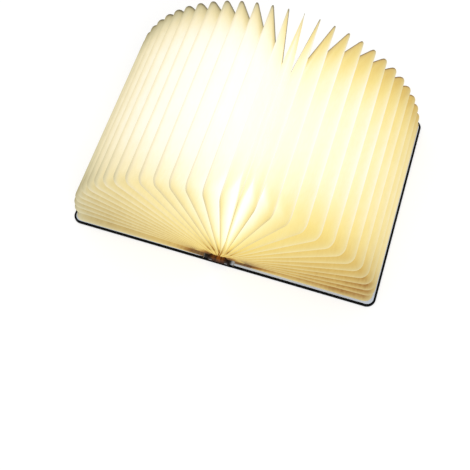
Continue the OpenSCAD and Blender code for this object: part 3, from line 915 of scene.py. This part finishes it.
# Covers: skin round each board, lining across the gutter, and the fold pasted on the lining
coverShape = {
    "corner": 9 * mm,
    "leastCorner": 4 * mm,
    "arcSteps": 10,
    "sideSteps": 22,
    "endCrowding": 1.6,
    "edgeRound": 0.45 * mm,
    "leatherOver": 0.22 * mm,
    "turnIn": 2.5 * mm,
    "emboss": 0.22 * mm,
    "mouldings": ((3.2 * mm, 4.8 * mm), (7.8 * mm, 8.6 * mm)),
    "creaseHeight": 0.6 * mm,
    "creaseWidth": 1.5 * mm,
    "foldFrom": -0.35 * mm,
    "foldTo": 0.6 * mm,
}
liningShape = {
    "margin": 2.2 * mm,
    "coreGap": 0.05 * mm,
    "gutterDip": 0.9 * mm,
    # where the painted shade beside the core fades, by side
    "gutterDark": {1: 0.4, -1: 1.25},
    "gutterFade": 0.4,
    "foldInset": 0.5 * mm,
}
pastedShape = {
    "inset": {1: 4.0 * mm, -1: 2.5 * mm},
    "half": {1: 103.8 * mm, -1: 105.3 * mm},
    "start": 0.9 * mm,
    "puffStart": 0.5 * mm,
    "least": 0.3 * mm,
    "lift": 0.02 * mm,
    "warmth": 0.85,
}
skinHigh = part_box("back_skin")[1]
boardLow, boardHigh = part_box("back_board")
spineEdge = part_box("spine_skin")[1].x
foreEdge, coverHalf = skinHigh.x, skinHigh.y
hingeX = joints["back_cover"]["pos_m"][0]
leatherTop = boardHigh.z + coverShape["leatherOver"]


def openOutline(inset, startX):  # near end, fore edge and far end of a cover, drawn in by inset
    shape = coverShape
    radius = max(shape["corner"] - inset, shape["leastCorner"])
    right, half = foreEdge - inset, coverHalf - inset
    steps = shape["sideSteps"]
    along = startX + (right - radius - startX) * np.linspace(0, 1, steps) ** shape["endCrowding"]
    turn = np.linspace(-math.pi / 2, 0, shape["arcSteps"])
    side = np.linspace(-1, 1, steps)[1:-1] * (half - radius)
    near = [(x, -half) for x in along[:-1]]
    near += [(right - radius + radius * math.cos(a), -half + radius + radius * math.sin(a)) for a in turn]
    far = [(x, -y) for x, y in reversed(near)]
    return np.array(near + [(right, y) for y in side] + far)


def fillInside(ring, steps, start):  # rows of points across a ring, and their faces
    count = len(ring) // 2
    points = [ring[k] * (1 - t) + ring[-1 - k] * t for k in range(count) for t in np.linspace(0, 1, steps)]
    return points, gridFaces(count, steps, start, True)


def placeCover(name, points, faces, material, sign, values):  # sign: 1 is the back, -1 the front
    points = points * np.array((sign, 1, 1))
    return makePiece(name, points, faces if sign > 0 else turnedOver(faces), material, values)


def skinProfile(hasPanel):  # inset and height of the leather, from the outer face round onto the board
    rounding, emboss, turnIn = (coverShape[key] for key in ("edgeRound", "emboss", "turnIn"))
    turn = np.linspace(0, math.pi / 2, 5)
    profile = [(5.6 * mm, emboss), (5.2 * mm, 0.12 * mm), (4.7 * mm, 0.02 * mm), (4.0 * mm, 0.0),
               (3.3 * mm, 0.02 * mm), (2.9 * mm, 0.12 * mm), (2.6 * mm, emboss), (1.4 * mm, emboss),
               (1.0 * mm, 0.06 * mm)]
    profile += [(rounding * (1 - math.sin(a)), rounding * (1 - math.cos(a))) for a in turn]
    profile += [(0.0, leatherTop - rounding)]
    profile += [(rounding * (1 - math.cos(a)), leatherTop - rounding * (1 - math.sin(a))) for a in turn[1:]]
    profile += [(turnIn, leatherTop), (turnIn, boardHigh.z - 0.1 * mm)]
    if hasPanel:
        profile = [(9.0 * mm, 0.9 * mm), (9.0 * mm, 0.1 * mm), (8.8 * mm, 0.02 * mm), (8.2 * mm, 0.0),
                   (7.6 * mm, 0.02 * mm), (7.3 * mm, 0.12 * mm), (7.0 * mm, emboss)] + profile
    return profile


def makeSkin(side, sign):
    shape = coverShape
    hasPanel = side == "front"
    crease, width = shape["creaseHeight"], shape["creaseWidth"]
    profile = skinProfile(hasPanel)
    rings, face = [], []
    for inset, height in profile:
        outline = openOutline(inset, spineEdge)
        onFace = inset > 0.9 * mm and height < 0.3 * mm
        moulding = any(low < inset < high for low, high in shape["mouldings"])
        face += [(1.0 if moulding else 0.5) if onFace else 0.0] * len(outline)
        rise = np.clip((outline[:, 0] - (boardLow.x - width)) / width, 0, 1)
        top = crease + (leatherTop - crease) * rise
        rings.append(np.column_stack((outline, np.minimum(height, top))))
    faces = gridFaces(len(rings), len(rings[0]))
    start = len(rings) * len(rings[0])
    if hasPanel:  # the strip of skin between the crease and the panel
        edgeX = abs(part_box("front_panel")[1].x)
        half = coverHalf - profile[0][0]
        strip = np.linspace(spineEdge, edgeX, 16)
        across = np.linspace(-half, half, 24)
        inner = []
        for x in strip:
            lift = shape["emboss"] if boardLow.x + width < x < edgeX - width else 0.0
            inner += [(x, y, lift) for y in across]
        inner += [(edgeX, y, profile[0][1]) for y in across]
        faces += gridFaces(len(strip) + 1, len(across), start, True)
    else:
        inner, filling = fillInside(rings[0], 9, start)
        faces += filling
    face += [0.5] * len(inner)
    piece = placeCover(side + "CoverSkin", np.concatenate(rings + [np.array(inner)]), faces, coverLeather,
                       sign, {"face": face})
    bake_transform(piece)
    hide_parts(side + "_skin")


def makeLining(side, sign):
    shape = liningShape
    margin = shape["margin"]
    coreSide = coreTop.x + shape["coreGap"]
    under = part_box(side + "_lining")[0].z
    rings = []
    for inset, height in ((margin, under), (margin, liningTop - 0.06 * mm), (margin + 0.1 * mm, liningTop),
                          (margin + 3 * mm, liningTop)):
        outline = openOutline(inset, coreSide)
        rings.append(np.column_stack((outline, np.full(len(outline), height))))
    faces = gridFaces(len(rings), len(rings[0]))
    inner, filling = fillInside(rings[-1], 7, len(rings) * len(rings[0]))
    points = np.concatenate(rings + [np.array(inner)])
    gutter = (points[:, 0] - coreSide) / (boardLow.x - coreSide)
    points[:, 2] -= np.where(gutter < 1, np.sin(np.clip(gutter, 0, 1) * math.pi), 0) * shape["gutterDip"]
    # Painted shade beside the core, reaching further on the front side
    dark = 1 - smoothStep((gutter - shape["gutterDark"][sign]) / shape["gutterFade"])
    piece = placeCover(side + "Lining", points, faces + filling, liningPaper, sign,
                       {"gutter": dark})
    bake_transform(piece)
    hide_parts(side + "_lining")


def makePastedFold(side, sign, leaf):  # half envelope pasted on the lining
    shape = pastedShape
    half = shape["half"][sign]
    x, y, edge = paperSheet(half, boardLow.x + shape["start"], foreEdge - shape["inset"][sign])
    puff = puffOf(edge, shape["puffStart"], gapTo(leaf, None, x - hingeX), shape["least"])
    heights = (puff, np.full(x.shape, shape["lift"]))
    sheets = [np.stack((sign * x, y, liningTop + height), -1) for height in heights]
    # Same painted shade and daylight as the leaves, without the crevice shade
    glow, warmth = paperLight(leaf, np.minimum(x - hingeX, leaf.end), y * leaf.half / half, edge, 0.0)
    piece = makePaper(side + "PastedFold", sheets, glow, warmth * shape["warmth"], sign > 0)
    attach(piece, side + "_cover")
    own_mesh(piece)


coverLeather = leatherMaterial("coverLeather", 0.6)
liningPaper = liningMaterial("liningPaper")
for side, sign, leaf in (("back", 1, leaves[0]), ("front", -1, leaves[-1])):
    makeSkin(side, sign)
    makeLining(side, sign)
    makePastedFold(side, sign, leaf)
print("covers, linings and pasted folds")


# Relief panel, in mm from its middle: motifs over a hatched ground, the highest one showing
panelShape = {
    "step": 0.5,
    "depth": 0.95,
    "corner": 4.0,
    "frame": 3.0,
    "medallion": 34.0,
    "band": 4.0,
    "studs": 18,
    "beads": 24,
    "beadRadius": 1.5,
    "fineBead": 0.75,
    "innerBeadRing": 26.5,
    "petals": 10,
    "petalReach": 21.0,
    "scroll": 15.0,
    "scrollTurns": 1.9,
    "scrollBeadGap": 2.2,
    "smallScroll": 7.5,
    "smallScrollTurns": 1.6,
    "smallScrollPlace": (35, 55),
    "studInset": 7.5,
    "sideStud": 52,
    "roundelPlace": (44.5, 46.5),
    "archRing": 31,
    "archBeadRing": 33.5,
    "scaleSize": 6,
    "scaleCorners": ((-12, -10), (12, 12)),
    "scaleMiddle": 80,
    "plumes": ((-72, 24), (72, 24), (-48, 29), (48, 29), (-24, 34), (24, 34), (0, 38)),
    "plumeFoot": 39,
    "plumeWidth": 13.5,
    "almonds": (15, 12.5, 10),
    "almondInset": 11.5,
    "almondStart": 7.5,
    "almondStep": 13.2,
    "looseStuds": 34,
    "seed": 3,
}
panelPaint = {
    "bronze": linear(112, 88, 62),
    "deepTeal": linear(34, 58, 66),
    "sage": linear(164, 180, 160),
    "lilac": linear(158, 168, 208),
    "sky": linear(126, 170, 206),
    "green": linear(104, 190, 168),
    "leafDark": linear(38, 92, 96),
    "olive": linear(172, 174, 92),
    "pearl": linear(214, 222, 204),
    "gold": linear(176, 140, 78),
}


class Relief:  # heights from 0 to 1 and colours on a grid
    def __init__(self, half, step):
        across = np.linspace(-half[0], half[0], int(2 * half[0] / step) + 1)
        along = np.linspace(-half[1], half[1], int(2 * half[1] / step) + 1)
        self.x, self.y = np.meshgrid(across, along)
        hatch = np.sin(4.2 * (self.x + self.y)) * np.sin(4.2 * (self.x - self.y))
        self.height = 0.10 + 0.10 * hatch
        blend = smoothStep(0.5 + 0.007 * self.y + 0.22 * np.sin(self.x / 13) * np.cos(self.y / 17))[..., None]
        self.colour = np.array(panelPaint["bronze"]) * blend + np.array(panelPaint["deepTeal"]) * (1 - blend)

    def lay(self, height, first, second=None, share=0.0):
        wins = height > self.height
        share = np.clip(np.broadcast_to(share, wins.shape), 0, 1)[..., None]
        colour = np.array(panelPaint[first]) * (1 - share) + np.array(panelPaint[second or first]) * share
        self.height = np.where(wins, height, self.height)
        self.colour = np.where(wins[..., None], colour, self.colour)

    def polar(self, x, y, quarter=0.0):
        return np.hypot(self.x - x, self.y - y), np.arctan2(self.y - y, self.x - x) - quarter


def dome(distance, radius):
    return np.sqrt(np.clip(1 - (distance / radius) ** 2, 0, 1))


def flatTop(distance, half):
    return np.clip(2.2 * (1 - (np.abs(distance) / half) ** 2), 0, 1)


def layBeads(relief, x, y, radius, count, size, colour, top=0.8):
    reach, turn = relief.polar(x, y)
    cell = 2 * math.pi / count
    local = (turn / cell) % 1 * cell - cell / 2
    distance = np.hypot(reach * np.cos(local) - radius, reach * np.sin(local))
    relief.lay(top * dome(distance, size), colour)


def layStud(relief, x, y, radius):
    reach = relief.polar(x, y)[0]
    relief.lay(0.85 * flatTop(reach - 0.72 * radius, 0.3 * radius), "sky")
    relief.lay(0.75 * dome(reach, 0.42 * radius), "pearl")


def layRing(relief, x, y, outer, width, colour, top=0.8):
    reach, turn = relief.polar(x, y)
    middle = outer - width / 2
    relief.lay(top * flatTop(reach - middle, width / 2), colour, "deepTeal", 0.35 + 0.35 * np.sin(turn * 3))
    for edge in (outer - 0.35, outer - width + 0.35):
        relief.lay((top + 0.15) * dome(reach - edge, 0.45), "sage")


def layScroll(relief, x, y, size, turns, spin, colour):
    reach, turn = relief.polar(x, y)
    turn = (spin * turn) % (2 * math.pi)
    last = turns * 2 * math.pi
    for lap in range(int(turns) + 1):
        angle = turn + lap * 2 * math.pi
        middle = size - 2.2 - (size - 4.4) * angle / last
        half = 2.3 - 1.2 * angle / last
        ridge = np.where(angle <= last, dome(reach - middle, half), 0)
        relief.lay(0.95 * ridge, colour, "pearl", 0.5 * ridge ** 6)
    relief.lay(0.95 * dome(reach, 2.2), colour, "pearl", 0.4)


def bladeOf(relief, x, y, turn, length, width, swell, fullness):  # along, across, share of its half width
    reach, angle = relief.polar(x, y, turn)
    along, across = reach * np.cos(angle) / length, np.abs(reach * np.sin(angle))
    half = width / 2 * np.sin(math.pi * np.clip(along, 0.001, 0.999) ** swell) ** fullness
    return along, across, np.where((along > 0) & (along < 1), across / np.maximum(half, 0.05), 9)


def layPlume(relief, x, y, turn, length, width, top=0.85):  # broad round-ended plume, rising towards its tip
    along, across, share = bladeOf(relief, x, y, turn, length, width, 1.5, 0.55)
    barbs = 0.5 + 0.5 * np.sin(2 * math.pi * (along * length / 1.7 + 1.1 * share ** 2))
    body = top * (0.5 + 0.5 * along) * (0.7 + 0.3 * (1 - share ** 2))
    body = body - 0.16 * barbs * np.clip(share * 2, 0, 1)
    relief.lay(np.where(share < 1, body, 0), "green", "leafDark",
               0.7 * barbs * share + 0.5 * (1 - along))
    relief.lay(np.where(np.abs(share - 0.92) < 0.08, top * (0.6 + 0.4 * along), 0), "sky")
    relief.lay(np.where((across < 0.45) & (share < 1), top * (0.7 + 0.35 * along), 0), "olive")


def layScales(relief, low, high, size):  # overlapping round scales, row behind row
    for row, middleY in enumerate(np.arange(low[1], high[1] + 0.1, size * 0.72)):
        for middleX in np.arange(low[0] + (row % 2) * size / 2, high[0] + 0.1, size):
            reach = relief.polar(middleX, middleY)[0]
            share = reach / (0.56 * size)
            below = np.where((relief.y > middleY - 0.56 * size) & (share < 1), 1.0, 0)
            relief.lay(below * (0.42 + 0.03 * (row % 3) - 0.2 * share ** 2), "sky", "deepTeal", 0.55)
            relief.lay(below * np.where(np.abs(share - 0.86) < 0.1, 0.52, 0), "sage")
            relief.lay(0.55 * dome(reach, 0.2 * size), "olive")


def layPetal(relief, x, y, turn, length, width, top=0.9):  # smooth pointed petal with a pale rim
    along, across, share = bladeOf(relief, x, y, turn, length, width, 1.25, 0.75)
    body = top * (0.45 + 0.35 * np.minimum(share, 1) ** 2 + 0.2 * along)
    relief.lay(np.where(share < 1, body, 0), "leafDark", "green", 0.25 + 0.75 * share ** 2)
    relief.lay(np.where((share > 0.8) & (share < 1), top * (0.75 + 0.25 * along), 0), "sage")
    relief.lay(np.where((across < 0.4) & (share < 1), top * 0.85, 0), "olive")


def layAlmond(relief, x, y, turn, length, width):
    reach, angle = relief.polar(x, y, turn)
    along, across = reach * np.cos(angle), reach * np.sin(angle)
    half = width / 2 * np.cos(np.clip(along / length, -0.5, 0.5) * math.pi)
    share = np.where(np.abs(along) < length / 2, np.abs(across) / np.maximum(half, 0.05), 9)
    relief.lay(0.8 * flatTop(share, 1.0), "sky", "deepTeal", 0.4)
    relief.lay(np.where((share > 0.78) & (share < 1), 0.95, 0), "sage")
    relief.lay(np.where(share < 0.55, 0.95 * (1 - 0.5 * share ** 2), 0), "olive", "green", share)


def drawRelief(shape, half):
    relief = Relief(half, shape["step"])
    chance = np.random.default_rng(shape["seed"])
    medallion, band, bead = shape["medallion"], shape["band"], shape["beadRadius"]
    scrollX, scrollY = (reach - shape["frame"] - shape["scroll"] - 2 * bead for reach in half)
    studX, studY = (reach - shape["studInset"] for reach in half)
    low, high = shape["scaleCorners"]
    for up in (-1, 1):
        middle = up * shape["scaleMiddle"]
        layRing(relief, 0, up * half[1], shape["archRing"], band, "sky", 0.6)
        layBeads(relief, 0, up * half[1], shape["archBeadRing"], 70, shape["fineBead"], "pearl", 0.55)
        layScales(relief, (low[0], middle + low[1]), (high[0], middle + high[1]), shape["scaleSize"])
        for turn, length in shape["plumes"]:
            turn = math.radians(90 * up + turn)
            layPlume(relief, 0, up * shape["plumeFoot"], turn, length, shape["plumeWidth"])
        for side in (-1, 1):
            x, y = side * scrollX, up * scrollY
            layScroll(relief, x, y, shape["scroll"], shape["scrollTurns"], side * up, "lilac")
            layBeads(relief, x, y, shape["scroll"] + shape["scrollBeadGap"], 30, 0.8, "pearl", 0.6)
            layStud(relief, side * studX, up * studY, 2.4)
            layStud(relief, side * studX, up * shape["sideStud"], 2.2)
            x, y = side * shape["smallScrollPlace"][0], up * shape["smallScrollPlace"][1]
            layScroll(relief, x, y, shape["smallScroll"], shape["smallScrollTurns"], -side * up, "sky")
            x, y = side * shape["roundelPlace"][0], up * shape["roundelPlace"][1]
            layBeads(relief, x, y, 4.6, 12, 0.7, "pearl", 0.55)
            layStud(relief, x, y, 2.6)
            for step, size in enumerate(shape["almonds"]):
                x = side * (half[0] - shape["almondInset"])
                y = up * (shape["almondStart"] + shape["almondStep"] * step)
                layAlmond(relief, x, y, math.pi / 2, size, 9 - step)
    layBeads(relief, 0, 0, medallion + 2 * bead, shape["beads"], bead, "pearl", 0.95)
    layRing(relief, 0, 0, medallion, band, "lilac")
    for number in range(shape["studs"]):
        turn = 2 * math.pi * number / shape["studs"]
        reach = medallion - band / 2
        layStud(relief, reach * math.cos(turn), reach * math.sin(turn), 1.1)
    layBeads(relief, 0, 0, shape["innerBeadRing"], 60, shape["fineBead"], "pearl", 0.6)
    for ring, (first, last, width, top) in enumerate(((5, shape["petalReach"] + 4, 8.5, 0.75),
                                                      (4, shape["petalReach"] - 4, 8.0, 0.9))):
        for number in range(shape["petals"]):
            turn = 2 * math.pi * (number + ring / 2) / shape["petals"]
            layPetal(relief, first * math.cos(turn), first * math.sin(turn), turn, last - first, width, top)
    reach = relief.polar(0, 0)[0]
    relief.lay(1.0 * dome(reach, 4.2), "gold", "pearl", 0.3)
    layBeads(relief, 0, 0, 5.0, 14, 0.8, "olive", 1.0)
    for number in range(shape["looseStuds"]):
        x, y = chance.uniform(-1, 1, 2) * (np.array(half) - 6)
        reach = relief.polar(x, y)[0]
        size = chance.uniform(1.0, 2.1)
        if relief.height[reach < size + 0.4].max() < 0.25:
            layStud(relief, x, y, size)
    fromEdge = np.minimum(half[0] - np.abs(relief.x), half[1] - np.abs(relief.y))
    relief.lay(np.where(fromEdge < shape["frame"], 0.35, 0), "deepTeal")
    relief.lay(0.9 * flatTop(fromEdge - 0.9, 0.7), "sage")
    relief.lay(0.8 * flatTop(fromEdge - 2.3, 0.4), "sage", "bronze", 0.5)
    return relief


def makePanel():
    shape = panelShape
    low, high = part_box("front_panel")
    half = ((high.x - low.x) / 2 / mm, (high.y - low.y) / 2 / mm)
    relief = drawRelief(shape, half)
    height = np.clip(relief.height, 0, 1)
    blurred = height.copy()
    for axis in (0, 1):
        blurred = sum(np.roll(blurred, shift, axis) for shift in (-3, -2, -1, 0, 1, 2, 3)) / 7
    corner = shape["corner"]
    inX, inY = half[0] + relief.x, half[1] - np.abs(relief.y)  # the fore edge is on the -X side
    over = np.hypot(np.maximum(corner - inX, 0), np.maximum(corner - inY, 0))
    pull = np.where(over > corner, corner / np.maximum(over, 1e-6), 1)
    x = relief.x + np.where(inX < corner, (corner - inX) * (1 - pull), 0)
    y = relief.y - np.sign(relief.y) * np.where(inY < corner, (corner - inY) * (1 - pull), 0)
    middleX, middleY = (low.x + high.x) / 2, (low.y + high.y) / 2
    top = np.stack((middleX + x * mm, middleY + y * mm, low.z + (1 - height) * shape["depth"] * mm), -1)
    rows, columns = height.shape
    points = top.reshape(-1, 3)
    ring = ringOf(rows, columns)
    under = points[ring].copy()
    under[:, 2] = high.z
    start = len(points)
    faces = gridFaces(rows, columns, 0, True)
    faces += bandFaces(ring, list(range(start, start + len(ring))))
    faces.append(tuple(range(start, start + len(ring))))
    points = np.concatenate((points, under))
    rise = np.concatenate(((height - blurred).ravel(), np.zeros(len(ring))))
    colours = np.column_stack((relief.colour.reshape(-1, 3), np.ones(start)))
    colours = np.concatenate((colours, colours[ring]))
    piece = makePiece("reliefPanel", points, faces, reliefMaterial("reliefPaint"),
                      {"rise": rise})
    paint = piece.data.attributes.new("paint", "FLOAT_COLOR", "POINT")
    paint.data.foreach_set("color", colours.ravel().astype(np.float32))
    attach(piece, "front_cover")
    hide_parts("front_panel")


makePanel()
print("relief panel")


# Finish of every CAD node that stays
finishes = {
    "core_brown": coreMaterial("coreBrown"),
    "screw_steel": mottledMaterial("screwSteel", linear(150, 150, 154), 0.32, 1.0, tone=0.12, grain=2500),
    "milky_plastic": mottledMaterial("milkyPlastic", linear(255, 236, 186), 0.35, tone=0.05, glow=0.9),
    "light_board": mottledMaterial("lightBoard", linear(240, 240, 235), 0.4, tone=0.05),
    "light_chip": mottledMaterial("lightChip", linear(255, 226, 120), 0.3, tone=0.1, glow=1.2),
    "battery_foil": mottledMaterial("batteryFoil", linear(190, 192, 196), 0.35, 0.8, tone=0.1, bump=0.1),
    "control_board": mottledMaterial("controlBoard", linear(26, 96, 54), 0.4, tone=0.2, cloud=300),
    "lead_red": mottledMaterial("leadRed", linear(180, 30, 26), 0.5, tone=0.1),
    "socket_steel": mottledMaterial("socketSteel", linear(176, 176, 180), 0.28, 1.0, tone=0.12, grain=2500),
    "lens_red": mottledMaterial("lensRed", linear(214, 60, 40), 0.15, tone=0.1, coat=0.6),
    "reed_glass": mottledMaterial("reedGlass", linear(170, 200, 190), 0.1, tone=0.1, coat=0.6),
    "magnet_nickel": mottledMaterial("magnetNickel", linear(178, 178, 180), 0.22, 1.0, tone=0.1),
    "grey_board": mottledMaterial("greyBoard", linear(150, 138, 120), 0.85, tone=0.18, cloud=200, bump=0.05),
    "cover_leather": coverLeather,
    "spine_leather": leatherMaterial("spineLeather", 0.55),
    "lining_paper": liningPaper,
    "relief_resin": mottledMaterial("reliefGround", linear(40, 70, 80), 0.4, tone=0.3),
}
slotOf = {part["node"]: part["material_slot"] for part in frame["record"]["subparts"]}
for name, node in frame["nodes"].items():
    if slotOf.get(name) in finishes:
        node.data.materials.clear()
        node.data.materials.append(finishes[slotOf[name]])
print("finishes on the CAD nodes")
